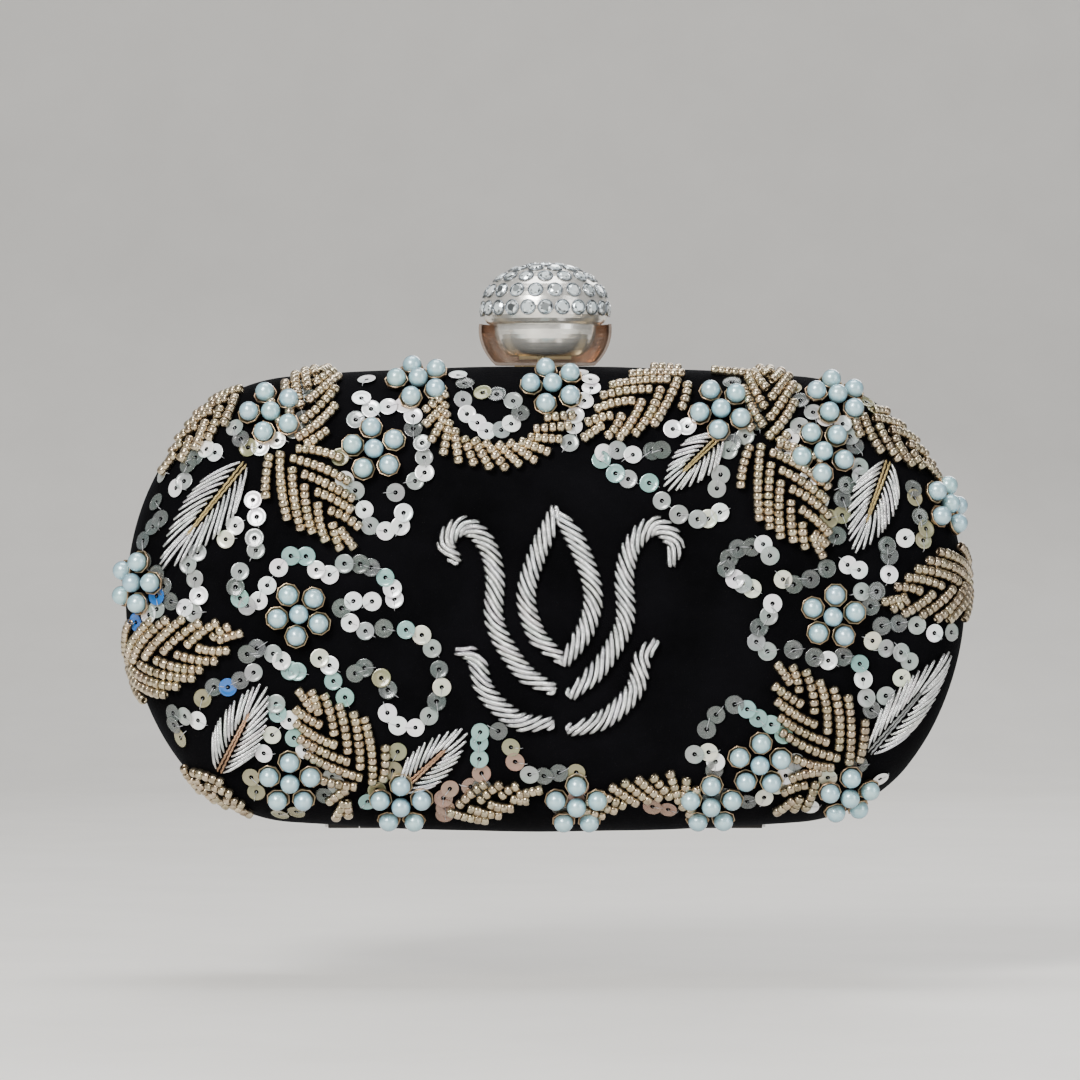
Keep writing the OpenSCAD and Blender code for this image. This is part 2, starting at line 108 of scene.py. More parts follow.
def seat(q):
    """Point on the cover and outward normal, each as [across, up, depth], for a point of the flat layout."""
    sx, sz = math.copysign(1, q[0]), math.copysign(1, q[1])
    c, r = arc_of(abs(q[0]), abs(q[1]))
    d = np.array([abs(q[0]), abs(q[1])]) - c
    n = np.hypot(*d)
    length = n - (r - FACE_RUN)
    if length <= 0 or n < 1e-6:
        return np.array([q[0], q[1], DEPTH]), np.array([0, 0, 1.0])
    inset, depth, t = section(length)
    u = d / n
    p = c + u * (r - inset)
    return (np.array([sx * p[0], sz * p[1], depth]),
            np.array([sx * u[0] * cos(t), sz * u[1] * cos(t), sin(t)]))


def world_point(p, side):
    """[across, up, depth] on the front (side -1) or rear (side 1) pan, carried to the row frame."""
    p = np.asarray(p, float)
    out = np.stack([-side * p[..., 0], side * p[..., 2], p[..., 1]], axis=-1)
    return out + np.array([0, 0, CENTRE_Z])


def frame_at(q, heading):
    """Point, normal and tangent on the cover for a flat point and a flat heading."""
    p, n = seat(q)
    h = np.asarray(heading, float)
    h = h / max(np.hypot(*h), 1e-9)
    p2, _ = seat(np.asarray(q) + 0.05 * h)
    t = p2 - p
    t -= n * t.dot(n)
    return p, n, t / np.linalg.norm(t)


# ---------------------------------------------------------------- mesh gathering
def revolve(profile, segments, closed=True, wave=None):
    """Quads of a profile of (radius, height) turned about its third axis."""
    prof = np.array(profile, float)
    a = np.arange(segments) * 2 * pi / segments
    scale = np.ones(segments) if wave is None else wave(a)
    v = np.zeros((len(prof), segments, 3))
    v[..., 0] = prof[:, :1] * np.cos(a) * scale
    v[..., 1] = prof[:, :1] * np.sin(a) * scale
    v[..., 2] = prof[:, 1:]
    rings = len(prof) if closed else len(prof) - 1
    faces = []
    for i in range(rings):
        k = (i + 1) % len(prof)
        for j in range(segments):
            m = (j + 1) % segments
            faces.append((i * segments + j, i * segments + m, k * segments + m, k * segments + j))
    return v.reshape(-1, 3), np.array(faces)


class Batch:
    """Many small shapes gathered in one mesh, each with its own tint."""

    def __init__(self):
        self.verts, self.faces, self.tints, self.along, self.count = [], [], [], [], 0

    def add(self, verts, faces, tint, uv=None):
        if isinstance(faces, np.ndarray):
            faces = faces.tolist()
        self.verts.append(verts)
        self.faces.extend([i + self.count for i in face] for face in faces)
        self.tints.append(np.tile(np.array([*tint, 1.0]), (len(verts), 1)))
        self.along.append(np.zeros((len(verts), 2)) if uv is None else uv)
        self.count += len(verts)

    def stamp(self, template, at, axes, tint, side):
        """A template's copy: axes are its three directions on the pan, scaled."""
        verts, faces = template
        self.add(world_point(verts @ np.array(axes) + at, side), faces, tint)

    def build(self, name, material, body, slot=None, smooth=True, replaces=()):
        me = bpy.data.meshes.new(name)
        me.from_pydata((np.concatenate(self.verts) * MM).tolist(), [], self.faces)
        col = me.color_attributes.new("tint", "FLOAT_COLOR", "POINT")
        col.data.foreach_set("color", np.concatenate(self.tints).astype(np.float32).ravel())
        uv = me.uv_layers.new(name="along")
        idx = np.zeros(len(me.loops), np.int32)
        me.loops.foreach_get("vertex_index", idx)
        uv.data.foreach_set("uv", np.concatenate(self.along)[idx].astype(np.float32).ravel())
        return finish(name, me, material, body, smooth, replaces)


def add_object(name, data):
    ob = bpy.data.objects.new(name, data)
    bpy.context.scene.collection.objects.link(ob)
    return ob


def finish(name, me, material, body, smooth=True, replaces=()):
    me.validate()
    if smooth:
        me.shade_smooth()
    else:
        me.shade_flat()
    me.materials.append(material)
    ob = add_object(name, me)
    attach(ob, body)
    if replaces:
        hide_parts(*replaces)
    return ob


def run_length(points):
    """Distance along a path at each of its points."""
    return np.concatenate([[0], np.cumsum(np.linalg.norm(np.diff(points, axis=0), axis=1))])


def tube(batch, points, ups, radii, tint, sides, side):
    """A round wire through points on a pan, with its length laid along the first UV axis in mm."""
    p, up = np.asarray(points, float), np.asarray(ups, float)
    t = np.gradient(p, axis=0)
    t /= np.linalg.norm(t, axis=1)[:, None]
    b = np.cross(t, up)
    b /= np.linalg.norm(b, axis=1)[:, None]
    n = np.cross(b, t)
    a = np.arange(sides) * 2 * pi / sides
    ring = (np.cos(a)[None, :, None] * b[:, None] + np.sin(a)[None, :, None] * n[:, None])
    v = p[:, None] + ring * np.asarray(radii, float)[:, None, None]
    count = len(p)
    faces = []
    for i in range(count - 1):
        for j in range(sides):
            k = (j + 1) % sides
            faces.append([i * sides + j, i * sides + k, (i + 1) * sides + k, (i + 1) * sides + j])
    faces.append(list(range(sides))[::-1])
    faces.append([(count - 1) * sides + j for j in range(sides)])
    uv = np.stack([np.repeat(run_length(p), sides), np.tile(a / (2 * pi), count)], axis=-1)
    batch.add(world_point(v.reshape(-1, 3), side), faces, tint, uv)


# ---------------------------------------------------------------- materials
def new_material(name, settings):
    """A material, its nodes and its shader, which gets the settings by the names of its inputs."""
    material = bpy.data.materials.new(name)
    material.use_nodes = True
    tree = material.node_tree
    shader = tree.nodes["Principled BSDF"]
    for key, value in settings.items():
        shader.inputs[key].default_value = value
    return material, tree, shader


def node(tree, kind, **values):
    made = tree.nodes.new(kind)
    for key, value in values.items():
        if key in made.inputs:
            made.inputs[key].default_value = value
        else:
            setattr(made, key, value)
    return made


def object_space(tree, texture):
    """The texture, laid out by the object's own coordinates."""
    place = tree.nodes.new("ShaderNodeTexCoord")
    tree.links.new(place.outputs["Object"], texture.inputs["Vector"])
    return texture.outputs["Fac"]


def object_noise(tree, scale, detail=3.0, rough=0.6):
    return object_space(tree, node(tree, "ShaderNodeTexNoise", Scale=scale, Detail=detail, Roughness=rough))


def bump(tree, shader, height, strength, distance):
    made = node(tree, "ShaderNodeBump", Strength=strength, Distance=distance)
    tree.links.new(height, made.inputs["Height"])
    tree.links.new(made.outputs["Normal"], shader.inputs["Normal"])
    return made


def ramp(tree, value, stops):
    """The colour of a value, through stops of (position, colour)."""
    made = tree.nodes.new("ShaderNodeValToRGB")
    marks = made.color_ramp.elements
    while len(marks) < len(stops):
        marks.new(0.5)
    for mark, (position, colour) in zip(marks, stops):
        mark.position = position
        mark.color = (*colour, 1.0)
    tree.links.new(value, made.inputs["Fac"])
    return made.outputs["Color"]


def multiply(tree, first, second):
    """Two colours multiplied."""
    made = node(tree, "ShaderNodeMix", data_type="RGBA", blend_type="MULTIPLY", Factor=1.0)
    for name, colour in (("A", first), ("B", second)):
        socket = [i for i in made.inputs if i.name == name and i.type == "RGBA"][0]
        tree.links.new(colour, socket)
    return [o for o in made.outputs if o.type == "RGBA"][0]


def by_tint(tree, colour):
    """The colour multiplied by each small shape's own tint."""
    made = node(tree, "ShaderNodeAttribute", attribute_name="tint")
    return multiply(tree, colour, made.outputs["Color"])


def paint(tree, shader, colour):
    tree.links.new(colour, shader.inputs["Base Color"])


def metal(name, base, rough, wear, scratch=900.0, brushed=0.0, tint=False, dent=0.0, metallic=1.0):
    """Plated or polished metal with faint smudges, fine brushing and duller patches."""
    material, tree, shader = new_material(name, {"Metallic": metallic, "Anisotropic": brushed})
    patch = object_noise(tree, 90.0, 4.0)
    dark = tuple(c * 0.72 for c in base)
    colour = ramp(tree, patch, [(0.3, dark), (0.62, base)])
    paint(tree, shader, by_tint(tree, colour) if tint else colour)
    dull = node(tree, "ShaderNodeMapRange", **{"To Min": max(rough - wear, 0.02), "To Max": rough + wear})
    tree.links.new(patch, dull.inputs["Value"])
    tree.links.new(dull.outputs["Result"], shader.inputs["Roughness"])
    fine = bump(tree, shader, object_noise(tree, scratch, 2.0), 0.06, 0.00004)
    if dent:
        under = node(tree, "ShaderNodeBump", Strength=dent, Distance=0.001)
        tree.links.new(object_noise(tree, 170.0, 2.0), under.inputs["Height"])
        tree.links.new(under.outputs["Normal"], fine.inputs["Normal"])
    return material


def velvet_material():
    material, tree, shader = new_material("black_velvet", {
        "Roughness": 0.95, "Specular IOR Level": 0.06, "Sheen Weight": 0.03, "Sheen Roughness": 0.3,
        "Sheen Tint": (0.32, 0.38, 0.5, 1.0)})
    lay = object_noise(tree, 45.0, 4.0, 0.65)
    colour = ramp(tree, lay, [(0.35, (0.0008, 0.0008, 0.0011)), (0.68, (0.0028, 0.0027, 0.0036))])
    paint(tree, shader, colour)
    bump(tree, shader, object_noise(tree, 2600.0, 2.0, 0.7), 0.7, 0.00025)
    return material


def satin_material():
    material, tree, shader = new_material("gold_satin", {
        "Roughness": 0.4, "Sheen Weight": 0.25, "Specular IOR Level": 0.6})
    lay = object_noise(tree, 60.0, 3.0)
    paint(tree, shader, ramp(tree, lay, [(0.3, (0.35, 0.24, 0.095)), (0.7, (0.42, 0.295, 0.12))]))
    weave = node(tree, "ShaderNodeTexWave", Scale=1500.0, Distortion=1.5, bands_direction="DIAGONAL")
    bump(tree, shader, object_space(tree, weave), 0.25, 0.00005)
    return material


def pearl_material():
    material, tree, shader = new_material("pearl_lacquer", {
        "Metallic": 0.3, "Roughness": 0.34, "Coat Weight": 1.0, "Coat Roughness": 0.12, "Coat IOR": 1.75,
        "Specular IOR Level": 0.7})
    # painted shade and lustre: the colour runs from a pale middle to near black at the rims, by how squarely
    # each spot faces the camera
    facing = node(tree, "ShaderNodeLayerWeight", Blend=0.42)
    colour = ramp(tree, facing.outputs["Facing"], [
        (0.0, (0.55, 0.78, 0.82)), (0.35, (0.38, 0.61, 0.69)), (0.8, (0.18, 0.31, 0.39)),
        (1.0, (0.08, 0.13, 0.17))])
    swirl = object_noise(tree, 420.0, 3.0)
    cloud = ramp(tree, swirl, [(0.35, (0.86, 0.95, 0.98)), (0.65, (1.0, 1.0, 0.98))])
    paint(tree, shader, by_tint(tree, multiply(tree, colour, cloud)))
    bump(tree, shader, swirl, 0.08, 0.00005)
    return material


def bead_material():
    material, tree, shader = new_material("bronze_seed_bead", {
        "Metallic": 0.95, "Roughness": 0.23, "Coat Weight": 0.3, "Coat Roughness": 0.15})
    spot = object_noise(tree, 900.0, 3.0)
    colour = ramp(tree, spot, [(0.32, (0.34, 0.26, 0.17)), (0.6, (0.71, 0.60, 0.43))])
    paint(tree, shader, by_tint(tree, colour))
    bump(tree, shader, spot, 0.12, 0.00006)
    return material


def sequin_material(name, alpha, rough, ripple=0.05):
    material, tree, shader = new_material(name, {
        "Roughness": rough, "Metallic": 0.15, "Specular IOR Level": 0.75, "Coat Weight": 0.6,
        "Coat Roughness": 0.06, "Alpha": alpha})
    film = object_noise(tree, 260.0, 2.0)
    colour = ramp(tree, film, [
        (0.3, (0.84, 0.95, 0.93)), (0.5, (1.0, 1.0, 1.0)), (0.72, (0.98, 0.92, 0.97))])
    paint(tree, shader, by_tint(tree, colour))
    bump(tree, shader, film, ripple, 0.0001)
    return material


def bullion_material():
    """Coiled wire: its turns are waves along the wire's first UV axis."""
    material, tree, shader = new_material("bullion_wire", {"Metallic": 0.92, "Roughness": 0.25})
    along = node(tree, "ShaderNodeUVMap", uv_map="along")
    turns = node(tree, "ShaderNodeTexWave", Scale=1.1, Distortion=0.4)
    tree.links.new(along.outputs["UV"], turns.inputs["Vector"])
    patch = object_noise(tree, 500.0, 2.0)
    colour = ramp(tree, patch, [(0.3, (0.58, 0.59, 0.59)), (0.6, (0.90, 0.905, 0.90))])
    paint(tree, shader, by_tint(tree, colour))
    bump(tree, shader, turns.outputs["Fac"], 0.5, 0.00012)
    return material


def crystal_material():
    material, tree, shader = new_material("foiled_crystal", {
        "Metallic": 0.4, "Roughness": 0.05, "Coat Weight": 1.0, "Coat Roughness": 0.02, "IOR": 1.6})
    haze = object_noise(tree, 300.0, 1.0)
    paint(tree, shader, by_tint(tree, ramp(tree, haze, [(0.3, (0.86, 0.94, 0.97)), (0.7, (1.0, 1.0, 1.0))])))
    return material


def plain_material(name, settings, noise, stops, relief=None):
    """A matt material with one noise in its colour and, as (strength, distance), in its relief."""
    material, tree, shader = new_material(name, settings)
    grain = object_noise(tree, *noise)
    paint(tree, shader, ramp(tree, grain, stops))
    if relief:
        bump(tree, shader, grain, *relief)
    return material


VELVET = velvet_material()
SATIN = satin_material()
PEARL = pearl_material()
BEAD = bead_material()
SEQUIN_LOOKS = {
    "white": (sequin_material("sequin_white", 1.0, 0.22), "pearl"),
    "clear": (sequin_material("sequin_clear", 0.66, 0.2, 0.02), "crystal"),
    "smoke": (sequin_material("sequin_smoke", 0.5, 0.2, 0.01), "crystal"),
}
BULLION = bullion_material()
CRYSTAL = crystal_material()
GILT = metal("gilt_frame", (0.78, 0.60, 0.33), 0.24, 0.08, scratch=1400.0, brushed=0.4)
FITTING = metal("gilt_fittings", (0.72, 0.55, 0.32), 0.28, 0.10)
BEAD_CUP = metal("antique_bead_cup", (0.62, 0.46, 0.30), 0.30, 0.10, tint=True)
HINGE = metal("blackened_hinge_steel", (0.035, 0.033, 0.032), 0.42, 0.10)
STEEL = metal("steel_pin", (0.70, 0.70, 0.70), 0.30, 0.08)
NICKEL = metal("polished_nickel", (0.95, 0.92, 0.85), 0.24, 0.06, dent=0.28, metallic=0.75)
# the stones' rings are a darker metal than the cap, which draws a dark outline round each stone
SETTING = metal("dark_setting", (0.34, 0.37, 0.40), 0.3, 0.08)
ROSE = metal("rose_gilt", (0.90, 0.71, 0.58), 0.22, 0.05, dent=0.15)
SHELL = plain_material("moulded_shell", {"Roughness": 0.55}, (700.0, 4.0),
                       [(0.3, (0.03, 0.03, 0.033)), (0.7, (0.055, 0.055, 0.06))], (0.3, 0.0001))
WADDING = plain_material("felt_wadding", {"Roughness": 0.95, "Sheen Weight": 0.4}, (1200.0, 5.0, 0.75),
                         [(0.3, (0.66, 0.61, 0.50)), (0.7, (0.84, 0.80, 0.70))], (0.6, 0.0003))
THREAD = plain_material("clear_thread", {"Roughness": 0.35}, (2000.0, 2.0),
                        [(0.3, (0.35, 0.36, 0.38)), (0.7, (0.62, 0.63, 0.65))])
FLOOR = plain_material("pale_floor", {"Roughness": 0.6}, (25.0, 3.0),
                       [(0.3, (0.80, 0.78, 0.74)), (0.7, (0.84, 0.82, 0.78))])

PAN_MATERIALS = {
    "cover": VELVET, "padding": WADDING, "shell": SHELL, "lining": SATIN, "frame": GILT, "pearls": PEARL,
    "hinge_leaf_left": HINGE, "hinge_leaf_right": HINGE, "hinge_rivets": HINGE,
}
NODE_MATERIALS = {
    "hinge_pin_left": STEEL, "hinge_pin_right": STEEL, "clasp_pivot": STEEL, "clasp_cup": ROSE,
    "clasp_bowl": NICKEL, "clasp_cap": NICKEL, "crystals": CRYSTAL,
}
for half in ("front", "rear"):
    for part, material in PAN_MATERIALS.items():
        NODE_MATERIALS[half + "_" + part] = material
for name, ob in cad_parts.items():
    ob.data.materials.clear()
    ob.data.materials.append(NODE_MATERIALS.get(name, FITTING))

# ---------------------------------------------------------------- velvet covers and satin linings
END_STEPS, CORNER_STEPS, LONG_STEPS = 44, 24, 56
CORNER_TURN = pi / 2 - END_TURN - LONG_TURN
ROUND = []  # centre, radius and outward direction of the points round the outline
for c, r, first, sweep, steps in (
        ((END[0], 0), END_R, -END_TURN, 2 * END_TURN, END_STEPS),
        (CORNER, CORNER_R, END_TURN, CORNER_TURN, CORNER_STEPS),
        ((0, LONG[1]), LONG_R, pi / 2 - LONG_TURN, 2 * LONG_TURN, LONG_STEPS),
        ((-CORNER[0], CORNER[1]), CORNER_R, pi / 2 + LONG_TURN, CORNER_TURN, CORNER_STEPS),
        ((-END[0], 0), END_R, pi - END_TURN, 2 * END_TURN, END_STEPS),
        ((-CORNER[0], -CORNER[1]), CORNER_R, pi + END_TURN, CORNER_TURN, CORNER_STEPS),
        ((0, -LONG[1]), LONG_R, 1.5 * pi - LONG_TURN, 2 * LONG_TURN, LONG_STEPS),
        ((CORNER[0], -CORNER[1]), CORNER_R, 1.5 * pi + LONG_TURN, CORNER_TURN, CORNER_STEPS)):
    for i in range(steps):
        a = first + sweep * i / steps
        ROUND.append((np.array(c, float), r, np.array([cos(a), sin(a)])))
AROUND = run_length([c + r * u for c, r, u in ROUND])


def pan_mesh(stations, side, wobble):
    """A sheet swept round the outline through (inset, depth, lean) stations, closed across its face."""
    verts, faces = [], []
    n = len(ROUND)
    for k, (inset, depth, lean) in enumerate(stations):
        for j, (c, r, u) in enumerate(ROUND):
            push = wobble(AROUND[j], k, lean)
            p = c + u * (r - inset + push * cos(lean))
            verts.append((p[0], p[1], depth + push * sin(lean)))
    for k in range(len(stations) - 1):
        for j in range(n):
            m = (j + 1) % n
            faces.append([k * n + j, (k + 1) * n + j, (k + 1) * n + m, k * n + m])
    # the flat of the face: rings that shrink towards the middle line
    base = (len(stations) - 1) * n
    inner = np.array(verts[base:])
    for shrink in (0.8, 0.6, 0.4, 0.2):
        start = len(verts)
        for x, z, depth in inner:
            verts.append((x * (1 - 0.12 * (1 - shrink)), z * shrink, depth))
        for j in range(n):
            m = (j + 1) % n
            faces.append([base + j, start + j, start + m, base + m])
        base = start
    # close the last ring by pairing the points above and below the middle line
    right = END_STEPS // 2
    for j in range(n // 2):
        a, b = (right + j) % n, (right + j + 1) % n
        c, d = (right - j) % n, (right - j - 1) % n
        quad = list(dict.fromkeys([base + a, base + b, base + d, base + c]))
        if len(quad) > 2:
            faces.append(quad)
    return world_point(np.array(verts), side) * MM, faces


def make_sheet(name, stations, side, wobble, material, body, thickness, node_name, flip=False):
    v, faces = pan_mesh(stations, side, wobble)
    me = bpy.data.meshes.new(name)
    me.from_pydata(v.tolist(), [], faces)
    ob = finish(name, me, material, body, True, (node_name,))
    bm = bmesh.new()
    bm.from_mesh(me)
    bmesh.ops.recalc_face_normals(bm, faces=bm.faces)
    outward = sum(f.normal.y * f.calc_area() for f in bm.faces)
    if (outward * side < 0) != flip:
        bmesh.ops.reverse_faces(bm, faces=bm.faces)
    bm.to_mesh(me)
    bm.free()
    solid = ob.modifiers.new("thickness", "SOLIDIFY")
    solid.thickness = thickness * MM
    solid.offset = -1.0
    return ob


def cover_stations():
    """Face of the velvet, from the seam at the frame to the flat of the face."""
    roll_steps, edge_steps, face_steps = 14, 18, 14
    roll = ROLL * pi / 2
    out = []
    for i in range(roll_steps + 1):
        out.append(section(FACE_LEN + EDGE_LEN + roll - roll * i / roll_steps))
    for i in range(1, edge_steps + 1):
        out.append(section(FACE_LEN + EDGE_LEN * (1 - i / edge_steps)))
    for i in range(1, face_steps + 1):
        out.append(section(FACE_LEN * (1 - i / face_steps)))
    return out


def velvet_wobble(s, k, lean):
    """Small gathers where the velvet is drawn in to the frame, and soft waves on the wall."""
    if k >= 40:
        return 0.0
    gather = max(0.0, 1 - k / 12.0)
    wave = 0.16 * gather * (sin(s * 1.9 + 0.8 * sin(s * 0.31)) + 0.5 * sin(s * 3.7 + 1.3))
    soft = 0.09 * sin(s * 0.23 + 0.5) * min(1.0, k / 8.0) * max(0.0, 1 - k / 34.0)
    return wave * (0.35 if lean > -1.2 else 0.15) - 0.05 + soft


def lining_stations():
    """Inner face of the lining, from the frame's lip to the flat of the tray's floor."""
    inset, lip_depth, lip_height = 5.615, 4.4, 1.2
    edge_steps, face_steps = 12, 10
    out = [(inset, lip_depth, 0.0), (inset, lip_depth + lip_height, 0.0)]
    edge_r, face_r = EDGE_R - inset, FACE_R - inset
    for i in range(edge_steps + 1):
        a = EDGE_TURN * i / edge_steps
        out.append((EDGE_R - edge_r * cos(a), WALL + edge_r * sin(a), a))
    for i in range(1, face_steps + 1):
        a = EDGE_TURN + (pi / 2 - EDGE_TURN) * i / face_steps
        out.append((FACE_RUN - face_r * cos(a), DEPTH - FACE_R + face_r * sin(a), a))
    return out


def satin_wobble(s, k, lean):
    """Soft pleats up the tray's wall, which die out on its floor. Negative is into the bag."""
    if k >= 25:
        return 0.0
    up = sin(pi * min(1.0, (k + 1) / 20.0))
    return -0.02 - 0.16 * up * (1 + sin(s * 1.25 + 0.9 * sin(s * 0.17)))


for half, side in (("front", -1), ("rear", 1)):
    cover = make_sheet(half + "_velvet", cover_stations(), side, velvet_wobble, VELVET, half, 0.7,
                       half + "_cover")
    make_sheet(half + "_satin", lining_stations(), side, satin_wobble, SATIN, half, 0.3,
               half + "_lining", flip=True)

# ---------------------------------------------------------------- embroidery templates
BEAD_T = revolve([(0.36, -0.56), (0.58, -0.74), (0.9, -0.7), (1.06, -0.4), (1.1, 0), (1.06, 0.4), (0.9, 0.7),
                  (0.58, 0.74), (0.36, 0.56)], 12)
SEQUIN_T = revolve([(0.48, 0.10), (0.62, 0.08), (1.15, 0.09), (1.6, 0.15), (1.93, 0.24), (1.97, 0.2),
                    (1.62, 0.08), (1.15, 0.02), (0.48, 0.03)], 22)
CUP_T = revolve([(0.4, 0.02), (1.4, 0.04), (2.2, 0.5), (2.44, 1.3), (2.38, 1.48), (2.18, 1.3), (2.02, 0.7),
                 (1.3, 0.2), (0.4, 0.14)], 16, wave=lambda a: 1 + 0.04 * np.cos(8 * a))


def sphere_template(radius, rings=12, segments=18):
    turns = [pi * (i + 0.5) / rings for i in range(rings)]
    verts, quads = revolve([(radius * sin(t), -radius * cos(t)) for t in turns], segments, closed=False)
    verts = np.concatenate([verts, [[0, 0, -radius], [0, 0, radius]]])
    top = len(verts) - 1
    last = (rings - 1) * segments
    faces = quads.tolist()
    for j in range(segments):
        m = (j + 1) % segments
        faces.append([top - 1, m, j])
        faces.append([top, last + j, last + m])
    return verts, faces


PEARL_R = 2.04
PEARL_T = sphere_template(PEARL_R)
PETAL = 4.55  # from a flower's middle pearl to the pearls round it
BEAD_LIFT = 0.95
WIRE_R = 0.35
WIRE_LIFT = 0.42
STITCH_R = 0.07
SILVER, OLD_GOLD = (1.0, 1.0, 1.0), (0.52, 0.40, 0.19)
COPPER, GUNMETAL = (0.50, 0.30, 0.19), (0.30, 0.30, 0.30)
TINTS = {  # colour and kind of the sequins
    "W": ((0.97, 0.98, 0.97), "white"), "C": ((0.72, 0.73, 0.58), "white"),
    "U": ((0.0, 0.13, 0.50), "white"), "G": ((0.46, 0.50, 0.48), "clear"),
    "T": ((0.34, 0.60, 0.55), "clear"), "B": ((0.38, 0.36, 0.20), "clear"),
    "R": ((0.42, 0.26, 0.19), "clear"), "D": ((0.17, 0.19, 0.18), "smoke"),
}


class Side:
    """The embroidery of one pan, gathered by material."""

    def __init__(self, side):
        self.side = side
        self.pearls, self.cups, self.wires, self.thread = [Batch() for _ in range(4)]
        self.beads = {"left": Batch(), "right": Batch()}
        self.sequins = {kind: Batch() for kind in SEQUIN_LOOKS}

    def build(self, half):
        self.pearls.build(half + "_pearl_flowers", PEARL, half, "pearl", replaces=(half + "_pearls",))
        self.cups.build(half + "_bead_cups", BEAD_CUP, half, "gilt_fittings")
        for end, beads in self.beads.items():
            beads.build(half + "_seed_beads_" + end, BEAD, half, "gilt_fittings")
        for kind, (material, slot) in SEQUIN_LOOKS.items():
            if self.sequins[kind].count:
                self.sequins[kind].build(half + "_sequins_" + kind, material, half, slot)
        self.wires.build(half + "_bullion", BULLION, half, "polished_nickel")
        self.thread.build(half + "_stitches", THREAD, half, "pearl")


def mm_path(points, step):
    """Even steps along a smooth curve through points seen from ahead: flat points and their headings."""
    pts = [flatten(*p) for p in points]
    ext = [2 * pts[0] - pts[1]] + pts + [2 * pts[-1] - pts[-2]]
    fine = []
    between = 24
    for i in range(1, len(ext) - 2):
        p0, p1, p2, p3 = ext[i - 1:i + 3]
        for k in range(between):
            t = k / between
            fine.append(0.5 * (2 * p1 + (p2 - p0) * t + (2 * p0 - 5 * p1 + 4 * p2 - p3) * t * t
                               + (3 * p1 - p0 - 3 * p2 + p3) * t ** 3))
    fine.append(ext[-2])
    fine = np.array(fine)
    run = run_length(fine)
    count = max(1, int(round(run[-1] / step)))
    at = np.linspace(0, run[-1], count + 1)
    out = np.stack([np.interp(at, run, fine[:, 0]), np.interp(at, run, fine[:, 1])], axis=-1)
    head = np.gradient(out, axis=0)
    return list(out), list(head / np.linalg.norm(head, axis=1)[:, None])


def jitter(base, amount):
    """A tint made a little lighter or darker, and each of its channels a little more."""
    k = 1 + rng.uniform(-amount, amount)
    return [max(0.0, min(1.0, c * k * (1 + rng.uniform(-0.03, 0.03)))) for c in base]


def put(batch, template, q, heading, lift, tint, side, tilt=(0.0, 0.0), size=1.0, spin=0.0):
    """A template set on the cover at a flat point, with its third axis along the normal."""
    p, n, t = frame_at(q, heading)
    b = np.cross(n, t)
    n2 = n + t * tilt[0] + b * tilt[1]
    n2 /= np.linalg.norm(n2)
    a = t * cos(spin) + b * sin(spin)
    a -= n2 * a.dot(n2)
    a /= np.linalg.norm(a)
    batch.stamp(template, p + n * lift, [a * size, np.cross(n2, a) * size, n2 * size], tint, side)


def flower(s, x, z, turn):
    """Five pearls in gilt cups round a bare middle pearl."""
    put(s.pearls, PEARL_T, (x, z), (1, 0), PEARL_R + 0.04, jitter((0.97, 0.98, 0.98), 0.03), s.side)
    for i in range(5):
        a = rad(turn) + i * 2 * pi / 5
        q = (x + PETAL * cos(a), z + PETAL * sin(a))
        put(s.pearls, PEARL_T, q, (1, 0), PEARL_R + 0.04, jitter((0.97, 0.98, 0.98), 0.03), s.side)
        put(s.cups, CUP_T, q, (1, 0), 0.12, jitter((0.95, 0.9, 0.85), 0.12), s.side,
            tilt=(rng.uniform(-0.08, 0.08), rng.uniform(-0.08, 0.08)), spin=rng.uniform(0, 1))


def bronze_and_painted_shade(q):
    """How much darker the beads are: most at the right end, and some near the bottom. This is partly the
    beads' bronzer tone there and partly painted shade, as less light falls there than at the upper left.
    """
    return 0.26 * min(max((q[0] - 30) / 45, 0), 1) + 0.14 * min(max((-8 - q[1]) / 30, 0), 1)


def bead(s, q, heading, lift):
    """A seed bead whose hole lies along the strand."""
    p, n, t = frame_at(q, heading)
    b = np.cross(n, t)
    t2 = t + n * rng.uniform(-0.10, 0.10) + b * rng.uniform(-0.10, 0.10)
    t2 /= np.linalg.norm(t2)
    n2 = n - t2 * n.dot(t2)
    n2 /= np.linalg.norm(n2)
    size = 1 + rng.uniform(-0.05, 0.05)
    axes = [np.cross(n2, t2) * size, n2 * size, t2 * (1 + rng.uniform(-0.08, 0.08))]
    # the tint darkens towards the right end and the bottom: partly a bronzer bead tone, partly painted shade
    tint = jitter([c * (1 - bronze_and_painted_shade(q)) for c in (0.95, 0.95, 0.93)], 0.13)
    s.beads["left" if q[0] < 0 else "right"].stamp(BEAD_T, p + n * lift, axes, tint, s.side)


def strand(s, start, end, bow=0.0, pitch=1.5):
    """Beads on a slightly bowed thread between two flat points."""
    a, b = np.array(start, float), np.array(end, float)
    d = b - a
    length = np.hypot(*d)
    count = max(1, int(round(length / pitch)))
    side = np.array([-d[1], d[0]]) / max(length, 1e-6)
    for i in range(count):
        f = (i + 0.5) / count
        q = a + d * f + side * bow * 4 * f * (1 - f)
        head = d / length + side * bow * 4 * (1 - 2 * f) / length
        bead(s, q, head, BEAD_LIFT + rng.uniform(-0.05, 0.1))


def midrib(base, tip):
    """Where a leaf starts on the flat, its length, and its directions along and across."""
    a, b = flatten(*base), flatten(*tip)
    d = b - a
    length = np.hypot(*d)
    u = d / length
    return a, length, u, np.array([-u[1], u[0]])


